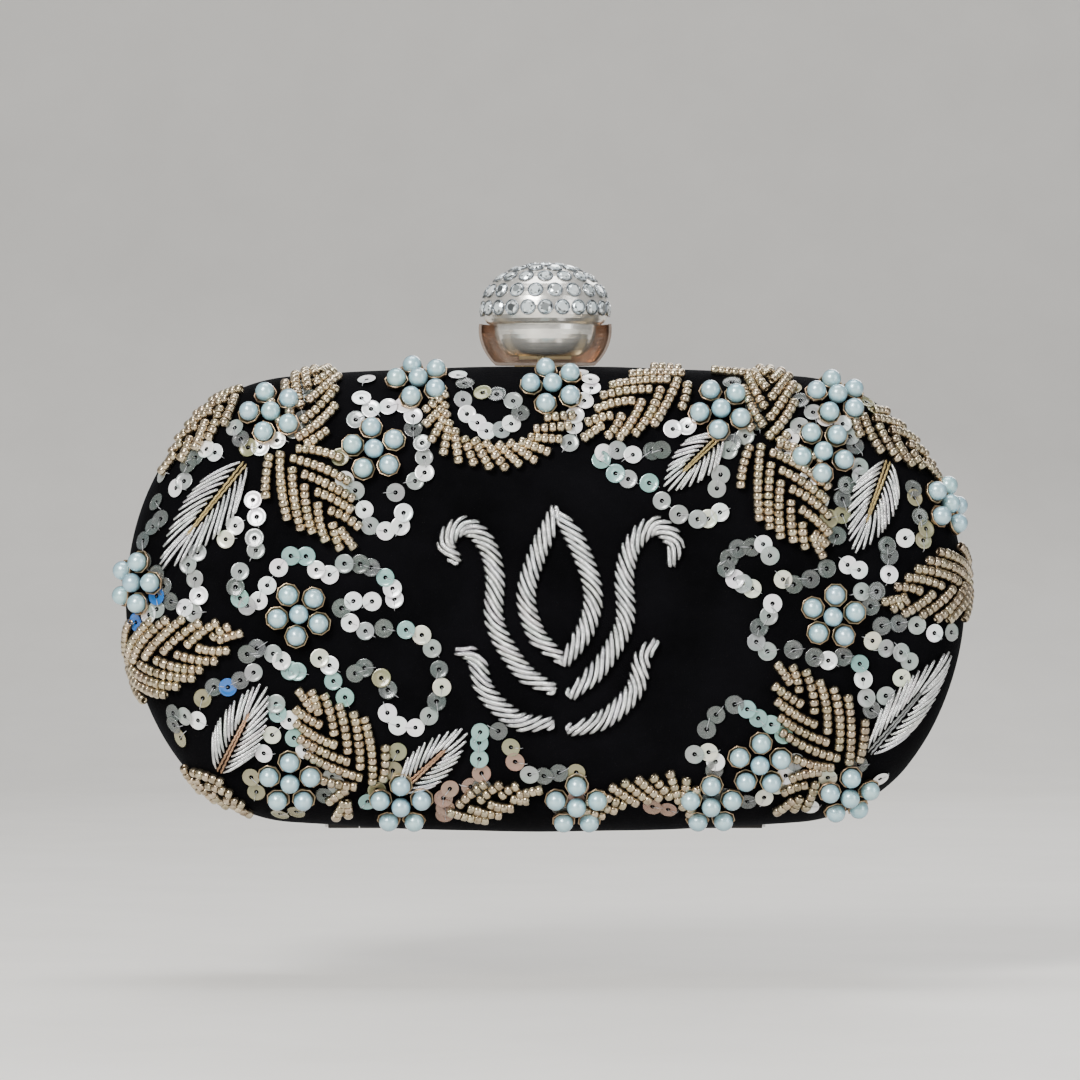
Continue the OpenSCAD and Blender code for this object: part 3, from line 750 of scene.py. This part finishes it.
def bead_leaf(s, base, tip, width):
    """A leaf of bead strands that leave its midrib on both sides, like a feather, and end at its outline."""
    angle, row, tip_strand, broad = 24.0, 2.08, 5.0, 9.0
    a, length, u, v = midrib(base, tip)

    def half_width(x):
        e = min(max(x / length, 0.0), 1.0)
        return 0.5 * width * abs(sin(pi * e ** 0.55)) ** 0.7

    def side_strand(x, y, lean, side, reach):
        while x + reach * cos(lean) < length and y + reach * sin(lean) < half_width(x + reach * cos(lean)):
            reach += 0.25
        reach += rng.uniform(-0.5, 1.0)
        if reach > 1.8:
            end = a + u * (x + reach * cos(lean)) + v * side * (y + reach * sin(lean))
            strand(s, a + u * x + v * side * y, end, side * (0.03 * reach + rng.uniform(0.0, 0.35)))

    for side in (-1, 1):
        x = 0.0 if side < 0 else 0.45 * row / sin(rad(angle))
        if width > broad:
            side_strand(x - 0.9, 2.4, rad(angle + 17), side, 3.5)
        while x < length - tip_strand:
            lean = rad(angle + rng.uniform(5, 9) - 15 * x / length)
            side_strand(x, 0.35, lean, side, 1.0)
            x += row / sin(lean)
    strand(s, a + u * (length - tip_strand), a + u * (length + 0.4))


def bead_band(s, points, slant, width, row=2.15):
    """Short bead strands laid slantwise across a curved band."""
    lean = rad(abs(slant))
    pts, heads = mm_path(points, row / sin(lean))
    for q, h in zip(pts, heads):
        n = np.array([-h[1], h[0]]) * math.copysign(1, slant)
        d = h * cos(lean) + n * sin(lean)
        reach = 0.5 * width / sin(lean) * rng.uniform(0.85, 1.1)
        strand(s, q - d * reach, q + d * reach)


def wire(s, pts, lifts, radius, tint):
    """A cut length of bullion lying on the cover, narrower at its ends."""
    p, n = zip(*[seat(q) for q in pts])
    p = np.array(p) + np.array(n) * np.array(lifts)[:, None]
    radii = np.full(len(pts), radius)
    radii[0] *= 0.72
    radii[-1] *= 0.72
    tube(s.wires, p, n, radii, tint, 8, s.side)


def bullion_leaf(s, base, tip, width, vein=OLD_GOLD, count=11):
    """A feather of silver wires either side of a kinked vein of two wires."""
    a, length, u, v = midrib(base, tip)
    bends = 7
    for side in (-1, 1):
        for i in range(count):
            f = i / (count - 1)
            start = length * 0.66 * f
            longest = length * (0.995 + 0.01 * side)
            end = min(start + length * (0.31 + 0.03 * f) + rng.uniform(-0.5, 0.5), longest)
            out = 0.5 * width * max(0.0, sin(pi * min(1.0, end / length) ** 0.8)) ** 0.7 + 0.25
            off = 0.95 if f < 0.9 else 0.35
            pts, lifts = [], []
            for k in range(bends):
                g = k / (bends - 1)
                away = off + (out - off) * g ** 0.85
                pts.append(a + u * (start + (end - start) * g) + v * side * away)
                lifts.append(WIRE_LIFT + 0.75 * sin(pi * (0.15 + 0.7 * g)) + 0.02 * i)
            wire(s, pts, lifts, WIRE_R, jitter(SILVER, 0.1))
    kinks = 26
    for k, off in enumerate((-0.42, 0.42)):
        pts = []
        for i in range(kinks):
            f = i / (kinks - 1)
            kink = 0.09 if i % 2 else -0.09
            pts.append(a + u * (length * (-0.02 + 0.70 * f)) + v * (off * (1 - f * 0.6) + kink))
        wire(s, pts, [0.75 + 0.05 * k] * kinks, 0.3, jitter(vein, 0.08))


def rope(s, points):
    """Wires couched slantwise over a padded line, like a twisted cord."""
    width, slant, gap, thickness, step = 3.9, rad(32), 1.0, 0.48, 0.25
    pts, heads = mm_path(points, step)
    last = len(pts) - 1
    reach = 0.5 * width / math.tan(slant) / step
    bends = 8
    at = 0.0
    while at <= last:
        edge = min(1.0, 0.35 + 0.65 * min(at, last - at) / 14.0)
        line, lifts = [], []
        for k in range(bends + 1):
            f = -1 + 2 * k / bends
            i = int(round(min(max(at + f * reach * edge, 0), last)))
            h = heads[i]
            line.append(pts[i] + np.array([-h[1], h[0]]) * (f * 0.5 * width * edge))
            lifts.append(WIRE_LIFT + 1.25 * edge * (1 - abs(f) ** 2.4) + rng.uniform(-0.02, 0.02))
        if run_length(line)[-1] > 1.5:
            wire(s, line, lifts, thickness, jitter(SILVER, 0.1))
        at += gap / sin(slant) / step * (1 + rng.uniform(-0.06, 0.06))


def trail(s, code, points, step=None):
    """Cup sequins sewn at the points of a line, or a step apart, in the colours that the code lists."""
    if step:
        pts, heads = mm_path(points, step)
    else:
        pts = [flatten(*p) for p in points]
        heads = list(np.gradient(np.array(pts), axis=0)) if len(pts) > 1 else [np.array([1.0, 0.3])]
    for i, (q, h) in enumerate(zip(pts, heads)):
        key = code[min(int(i * len(code) / len(pts)), len(code) - 1)]
        tint, kind = TINTS["G" if key == "W" and rng.random() < 0.1 else key]
        q = q + np.array([rng.uniform(-0.35, 0.35), rng.uniform(-0.35, 0.35)])
        tilt = (-0.13 + rng.uniform(-0.07, 0.07), rng.uniform(-0.12, 0.12))
        lift = 0.22 + 0.16 * (i % 2)
        put(s.sequins[kind], SEQUIN_T, q, h, lift, jitter(tint, 0.08), s.side, tilt,
            size=1 + rng.uniform(-0.04, 0.03))
        # the stitch comes up through the sequin's hole, crosses its rim and goes down beside it
        p, n, t = frame_at(q, h)
        out = t * cos(0.4) + np.cross(n, t) * sin(rng.uniform(-0.6, 0.6))
        line = [p + out * reach + n * height for reach, height in (
            (0.0, lift - 0.1), (0.0, lift + 0.30), (1.0, lift + 0.34), (2.1, lift + 0.36), (2.5, 0.05))]
        tube(s.thread, line, [n, t, n, n, t], [STITCH_R] * len(line), (1, 1, 1), 5, s.side)


# ---------------------------------------------------------------- the front's embroidery
front = Side(-1)
for x, z, turn in (
        (-57, 39, 36), (-35.5, 31, 25), (-51, -3, 47), (-53, -38, 18), (-30, -43, 18), (1.5, 45, 36),
        (-26.5, 46.5, 36), (36.5, 39.5, 46), (57.5, 30.5, 50), (59.5, -3.5, 12), (44.5, -34, 15),
        (61, 43, 28), (86, 20.5, 6), (-86.5, 3.5, 0), (6.5, -43, 18), (34.5, -43, 18), (63.5, -41.5, 18)):
    flower(front, x, z, turn)

for base, tip, width in (
        ((-63.5, 43.5), (-80, 26.5), 9), ((-52.5, 33.5), (-46, 48.5), 14), ((-55, 31), (-40, 11), 17),
        ((29.5, 46.5), (8, 33.5), 14), ((46, 33.5), (47.5, 48), 12), ((45.5, 32.5), (58, 9), 17),
        ((66.5, 38.5), (82, 25.5), 9.5), ((89, 4.5), (70.5, -0.5), 16), ((-88, -14), (-63.5, -7), 17),
        ((-75.5, -34.5), (-62, -44.5), 8.5), ((-36.5, -38.5), (-51.5, -19), 16),
        ((-41, -39.5), (-44, -45), 8), ((-20.5, -43.5), (-1, -39.5), 8.5), ((63, -34.5), (48.5, -13.5), 17),
        ((58, -36), (48.5, -44), 9)):
    bead_leaf(front, base, tip, width)
bead_band(front, [(-23, 41), (-22.5, 36.5), (-19.5, 32.5), (-14.5, 30.5), (-9, 30), (-4, 31), (-0.5, 33),
                  (3, 38)], -52, 6)
bead_band(front, [(9.5, -44), (14, -41.5), (18.5, -40), (23, -39), (27.5, -39), (31, -42)], -55, 6)
strand(front, flatten(45, 46.5), flatten(35, 47.5))

bullion_leaf(front, (-63, 28), (-80, 6.5), 10)
bullion_leaf(front, (36.5, 34), (25, 23), 8, OLD_GOLD, 9)
bullion_leaf(front, (71.5, 28.5), (64.5, 10), 9.5)
bullion_leaf(front, (-68, -35.5), (-58.5, -17.5), 9.5, COPPER)
bullion_leaf(front, (-30, -39.5), (-16.5, -27), 8, COPPER, 9)
bullion_leaf(front, (68, -31.5), (84.5, -11), 8.5, GUNMETAL)

for code, points in (
        ("GD", [(-65, 36), (-64, 33.5)]), ("BWW", [(-62, 32), (-59.5, 32), (-56, 33)]),
        ("G", [(-52.5, 35.5)]), ("B", [(-43, 29.5)]), ("WW", [(-71, 31.5), (-69, 30.5)]),
        ("DDG", [(-73, 30), (-74.5, 28), (-75.5, 25)]), ("W", [(-77.5, 23.5)]), ("G", [(-80.5, 26)]),
        ("DDDDDDDUD", [(-81.5, 20.5), (-80.5, 17), (-82.5, 15), (-84.5, 12), (-84, 8), (-81.5, 5),
            (-80, 2.5), (-81.5, 0.5), (-78.5, -0.5)]),
        ("WWGG", [(-61, 21), (-60.5, 17), (-60.5, 13), (-60.5, 10.5)]), ("W", [(-64.5, 15.5)]),
        ("C", [(-67, 12.5)]),
        ("GWGWWW", [(-73, 10), (-74.5, 7.5), (-73.5, 4), (-72.5, 0.5), (-75.5, -1.5), (-73.5, -2.5)]),
        ("WD", [(-64, 6), (-65, 3)]),
        ("TGWWWTTWWGDDTWW", [(-64, 0), (-62, -1), (-59.5, 0), (-58, 3), (-56, 7), (-53, 9.5), (-50, 9),
            (-47.5, 6), (-45, 5.5), (-42, 7.5), (-39, 7.5), (-36.5, 7), (-33.5, 5), (-32, 2.5),
            (-31.5, 0)]),
        ("WW", [(-36, 0), (-40, -0.5)]), ("DDD", [(-50.5, 38), (-51.5, 44), (-49.5, 42.5)]),
        ("WWWWWWDGWWGG", [(-37.5, 46), (-38.5, 42), (-36.5, 40), (-33, 40.5), (-30, 40.5), (-28, 38.5),
            (-27.5, 36), (-26, 33), (-25.5, 29.5), (-25, 26.5), (-27.5, 24.5), (-31, 22.5)]),
        ("G", [(-40, 37.5)]),
        ("WWWWWGW", [(-29.5, 18.5), (-30.5, 15.5), (-33.5, 14.5), (-36.5, 15.5), (-37.5, 19), (-40, 22.5),
            (-42, 25)]),
        ("WDBDGDWGWWWW", [(-18.5, 47), (-17, 45), (-13.5, 43.5), (-10, 43), (-7, 41.5), (-5.5, 39),
            (-7, 36.5), (-9.5, 35.5), (-12, 35.5), (-14, 37), (-16.5, 39), (-17.5, 41.5)]),
        ("WWWWWWW", [(7.5, 47.5), (9.5, 46), (9.5, 44), (8, 41.5), (6.5, 38.5), (6, 36), (5, 33)]),
        ("WW", [(27, 35.5), (30, 36)]),
        ("DDWGWTTWTGGGCW", [(24, 31.5), (22, 31), (18, 30.5), (15, 31), (12, 30.5), (11.5, 29),
            (14.5, 26.5), (17.5, 25), (21.5, 24.5), (24, 21), (28, 18), (31.5, 16.5), (34, 17),
            (36.5, 18.5)]),
        ("GG", [(36, 23.5), (36.5, 26)]), ("GD", [(38, 31), (39.5, 33)]),
        ("BDG", [(52, 44), (53.5, 41.5), (56, 39)]),
        ("WWGDGWDDBD", [(59, 38), (62, 37), (64, 34), (65, 32), (65.5, 28), (65.5, 26), (63, 24), (62, 21),
            (62, 17.5), (61, 13.5)]),
        ("B", [(59, 17)]), ("W", [(55, 25)]), ("W", [(57, 20.5)]),
        ("GWW", [(53, 36.5), (51.5, 33.5), (50, 31)]),
        ("DDDD", [(39.5, 45.5), (42.5, 43), (43.5, 40.5), (44, 37)]), ("G", [(42, 34.5)]),
        ("BB", [(67.5, 41.5), (69.5, 39.5)]),
        ("DBDBB", [(77, 23.5), (77, 21), (78.5, 17), (79.5, 14.5), (79, 12.5)]), ("W", [(75, 13)]),
        ("DDW", [(71.5, 11.5), (72, 9), (72, 5.5)]), ("DG", [(69.5, 1.5), (66, 2)]),
        ("WW", [(65.5, 6), (63, 7.5)]), ("DDDC", [(58.5, 6.5), (55.5, 4.5), (52, 3), (49.5, 4.5)]),
        ("GWDDDDWGC", [(47, 9), (45.5, 11.5), (43, 11), (40.5, 11), (38.5, 9), (38, 6.5), (39.5, 4.5),
            (41, 3.5), (43, 2.5)]),
        ("GWU", [(-81.5, -2), (-83, -3.5), (-86, -5)]),
        ("DDGWTT", [(-62.5, -11.5), (-60, -10), (-57, -11), (-55, -13), (-53, -15), (-51.5, -15)]),
        ("GDUDB", [(-61, -15.5), (-63.5, -17), (-66.5, -18), (-69.5, -18.5), (-71.5, -20.5)]),
        ("DGW", [(-78, -23.5), (-75.5, -24.5), (-72.5, -25.5)]), ("D", [(-78, -26)]), ("B", [(-76.5, -29)]),
        ("GTW", [(-56, -21.5), (-56, -24), (-53.5, -25)]), ("C", [(-57, -28.5)]),
        ("TW", [(-52.5, -29), (-50.5, -31.5)]), ("W", [(-59, -32)]), ("BB", [(-61.5, -37), (-60.5, -40)]),
        ("BB", [(-55.5, -45), (-52, -44.5)]), ("WG", [(-45, -37), (-43.5, -39)]), ("D", [(-46.5, -41)]),
        ("CWTT", [(-47, -12.5), (-45, -14), (-44.5, -17), (-42, -20)]),
        ("DDBD", [(-40, -15), (-37.5, -14), (-34, -16), (-33, -18.5)]),
        ("WGDTCGDCDGWWW", [(-41, -4.5), (-37.5, -6.5), (-33.5, -6), (-29, -6), (-26, -7), (-23.5, -10.5),
            (-22.5, -14.5), (-21.5, -18), (-22.5, -21.5), (-24, -24), (-27.5, -26.5), (-31, -26),
            (-33, -23.5)]),
        ("D", [(-42.5, -2)]), ("BBBT", [(-31, -32), (-32, -35.5), (-35.5, -39.5), (-37, -42)]),
        ("DTTTRD", [(-10, -27.5), (-13.5, -27.5), (-14, -30), (-13.5, -33), (-13, -36), (-13.5, -39)]),
        ("RRRRR", [(-16, -39), (-20, -39.5), (-21.5, -41.5), (-21, -43.5), (-21, -45)]),
        ("B", [(-7.5, -30.5)]), ("R", [(-6, -34)]),
        ("GDDBRR", [(-3.5, -36.5), (0, -36.5), (3, -36), (6.5, -36), (7.5, -39), (6.5, -41.5)]),
        ("D", [(3.5, -43.5)]), ("RR", [(22.5, -43.5), (25.5, -44)]),
        ("WGDGGDDWDTWGD", [(47.5, -1), (47, -3.5), (45, -6), (44, -9), (46.5, -10.5), (51.5, -10.5),
            (56, -12), (59, -12.5), (62, -12), (65.5, -13.5), (66.5, -16.5), (67, -20.5), (68.5, -23)]),
        ("GCGGGC", [(71, -20), (74.5, -16.5), (76, -13), (74.5, -11), (71, -10), (68.5, -8.5)]),
        ("D", [(68, -1.5)]), ("DDGWG", [(70.5, -5.5), (73.5, -5), (78, -5.5), (81.5, -7), (85, -7)]),
        ("DDDTTTT", [(34, -27), (36, -24), (39.5, -22), (42, -22.5), (44.5, -25), (47.5, -26),
            (49.5, -28)]),
        ("GCWDDDD", [(31.5, -32.5), (34, -32), (36, -33.5), (35, -35.5), (34.5, -38.5), (35, -41),
            (38, -41)]),
        ("D", [(42.5, -42.5)]), ("GWCC", [(52, -34), (50.5, -36.5), (48.5, -39), (46, -41)]),
        ("D", [(65.5, -34.5)]), ("C", [(59, -37.5)]), ("W", [(70.5, -37.5)]), ("W", [(56, -43.5)])):
    trail(front, code, points)

# An abstract palmette in couched bullion: a closed bud with curled fronds on both sides.
# It stands for no letter.
PALMETTE_X = 3
for m in (-1, 1):
    for line in (
            [(0, -13), (5, -7), (7, 1), (4.5, 10), (0, 19)],
            [(1.5, -19.5), (8, -14.5), (13.5, -5), (13.5, 5), (15.5, 12), (20, 15.5), (24, 12), (22, 7.5)],
            [(1.5, -26.5), (9, -25), (15.5, -19), (17.5, -12), (21, -9.5)]):
        rope(front, [(PALMETTE_X + m * x, z) for x, z in line])
front.build("front")

# ---------------------------------------------------------------- the back's embroidery
rear = Side(1)
for x, z, turn in (
        (52, 28, 170), (-52, 28, 160), (54, -30, 180), (-54, -30, 168), (0, -42, 90), (-86.5, 3.5, 180)):
    flower(rear, x, z, turn)
for m in (-1, 1):
    bead_leaf(rear, (m * 45, 33), (m * 26, 37), 12)
    bead_leaf(rear, (m * 47, -33), (m * 28, -37), 12)
    bullion_leaf(rear, (m * 57, 25), (m * 64, 7), 8.0)
    bullion_leaf(rear, (m * 60, -22), (m * 67, -6), 8.0, COPPER, 10)
    trail(rear, "WWGWTWW", [(m * 44, 26), (m * 36, 29), (m * 26, 27), (m * 18, 31), (m * 10, 34)], 3.1)
    trail(rear, "WGWWGW", [(m * 46, -22), (m * 38, -26), (m * 26, -25), (m * 16, -29), (m * 9, -34)], 3.1)
    trail(rear, "GWWG", [(m * 62, 36), (m * 70, 28), (m * 74, 18)], 3.1)
    trail(rear, "WGTG", [(m * 64, -34), (m * 72, -26), (m * 76, -14)], 3.1)
rear.build("rear")

# ---------------------------------------------------------------- crystals on the clasp
CAP_R, LIP_H, DOME_H, POWER = 13.4, 3.0, 9.9, 2.15
CAP_RISE = 8.8  # height of the cap's lip above the outline's top
CAP_Z = CENTRE_Z + LONG[1] + LONG_R + CAP_RISE
GEM_R = 1.44
GEM_SINK = 0.25


def dome_at(k):
    """Radius of the cap's dome at a fraction of its height."""
    return CAP_R * max(0.0, 1 - k ** POWER) ** (1 / POWER)


def dome_lean(k):
    """Angle of the dome's normal above the level at a fraction of its height."""
    if k >= 1:
        return pi / 2
    low, rise = min(k, 0.998), 0.002
    return math.atan2(dome_at(low) - dome_at(low + rise), rise * DOME_H)


def gem_template():
    """A brilliant cut: a girdle, two rows of crown facets and a table."""
    v, f, start = [], [], []
    for radius, height, shift, count in (
            (GEM_R, 0.30, 0.0, 16), (GEM_R * 0.86, 0.56, 0.5, 8), (GEM_R * 0.56, 0.80, 0.0, 8),
            (GEM_R, -0.2, 0.0, 16)):
        start.append(len(v))
        for i in range(count):
            a = 2 * pi * (i + shift) / count
            v.append((radius * cos(a), radius * sin(a), height))
    g, m, t, lo = start
    for i in range(16):
        f.append([lo + i, lo + (i + 1) % 16, g + (i + 1) % 16, g + i])
    for i in range(8):
        a, b, c = g + (2 * i) % 16, g + (2 * i + 1) % 16, g + (2 * i + 2) % 16
        f.append([a, b, m + i])
        f.append([b, c, m + i])
        f.append([m + i, c, m + (i + 1) % 8])
        f.append([m + i, t + (i + 1) % 8, t + i])
        f.append([m + i, m + (i + 1) % 8, t + (i + 1) % 8])
    f.append([t + i for i in range(8)])
    return np.array(v), f


gem_verts, gem_faces = gem_template()
ring_verts, ring_faces = revolve([
    (1.46, 0.0), (1.46, 0.2), (1.52, 0.3), (1.6, 0.3), (1.68, 0.18), (1.7, 0.0)], 20)
gems, rims = Batch(), Batch()
for k, count, shift in (
        (0.05, 23, 0), (0.42, 19, 0.5), (0.72, 15, 0), (0.9, 10, 0.5), (0.98, 5, 0), (1.0, 1, 0)):
    lean = dome_lean(k)
    for i in range(count):
        turn = 2 * pi * (i + shift) / count - pi / 2
        out = np.array([cos(turn), sin(turn), 0.0])
        around = np.array([-sin(turn), cos(turn), 0.0])
        n = out * cos(lean) + np.array([0, 0, sin(lean)])
        at = out * dome_at(k) + np.array([0, 0, CAP_Z + LIP_H + DOME_H * k])
        spin = rng.uniform(0, pi / 4)
        e1 = around * cos(spin) + np.cross(n, around) * sin(spin)
        axes = np.array([e1, np.cross(n, e1), n])
        verts = gem_verts @ axes + at - n * GEM_SINK
        for face in gem_faces:
            # painted reflection: some facets get a dark tint, as cut stones mirror their dark surroundings
            # in some facets
            shade = rng.choice((0.1, 0.32, 0.65, 1.0, 1.0, 1.0))
            gems.add(verts[face], [list(range(len(face)))], (shade * 0.95, shade, shade))
        rims.add(ring_verts @ axes + at, ring_faces, (1, 1, 1))
gems.build("clasp_stones", CRYSTAL, "clasp_knob", "crystal", smooth=False, replaces=("crystals",))
rims.build("stone_settings", SETTING, "clasp_knob", "polished_nickel")

# the metal CAD pieces keep their shape, and get shading that follows their curves
for name in ("clasp_bowl", "clasp_cap", "clasp_cup", "front_frame", "rear_frame"):
    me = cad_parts[name].data
    me.shade_smooth()
    me.set_sharp_from_angle(angle=rad(28))


# ---------------------------------------------------------------- floor, lights, camera, in metres
def studio_floor():
    """A floor that curves up into a back wall."""
    half_width, level, bend, steps = 2.2, -0.032, 0.5, 10
    line = [(y, 0.0) for y in (-1.6, -0.8, 0.0, 0.5)]
    for i in range(steps + 1):
        a = i * pi / 2 / steps
        line.append((0.9 + bend * sin(a), bend - bend * cos(a)))
    line.append((1.4, 1.6))
    v, f = [], []
    for y, z in line:
        for x in (-half_width, half_width):
            v.append((x, y, z + level))
    for i in range(len(line) - 1):
        f.append((2 * i, 2 * i + 1, 2 * i + 3, 2 * i + 2))
    me = bpy.data.meshes.new("floor")
    me.from_pydata(v, [], f)
    me.shade_smooth()
    me.materials.append(FLOOR)
    return add_object("floor", me)


def area(name, at, size, power, colour):
    """A rectangular lamp that looks at the bag."""
    lamp = bpy.data.lights.new(name, "AREA")
    lamp.shape = "RECTANGLE"
    lamp.size, lamp.size_y = size
    lamp.energy = power
    lamp.color = colour
    ob = add_object(name, lamp)
    ob.location = at
    ob.rotation_euler = (Vector((0, 0, 0.05)) - Vector(at)).to_track_quat("-Z", "Y").to_euler()


floor = studio_floor()
area("key", (-0.4, -0.8, 0.6), (0.3, 0.4), 13.0, (1.0, 0.99, 0.97))
area("fill", (0.75, -0.6, 0.25), (0.4, 0.7), 3.0, (0.96, 0.98, 1.0))
area("top", (0.0, 0.05, 0.9), (0.6, 0.4), 5.0, (1, 1, 1))
area("back", (0.3, 0.9, 0.6), (0.6, 0.4), 4.0, (1, 1, 1))

world = bpy.data.worlds.new("studio")
bpy.context.scene.world = world
world.use_nodes = True
sky = world.node_tree.nodes["Background"]
sky.inputs["Color"].default_value = (0.86, 0.87, 0.9, 1)
sky.inputs["Strength"].default_value = 0.38

lens = bpy.data.cameras.new("camera")
lens.sensor_width = 36.0
lens.lens = 189.0
lens.clip_start = 0.01
camera = add_object("camera", lens)
camera.location = (-0.0011, -VIEW_DISTANCE * MM, 0.0612)
camera.rotation_euler = (pi / 2, 0, 0)
bpy.context.scene.camera = camera
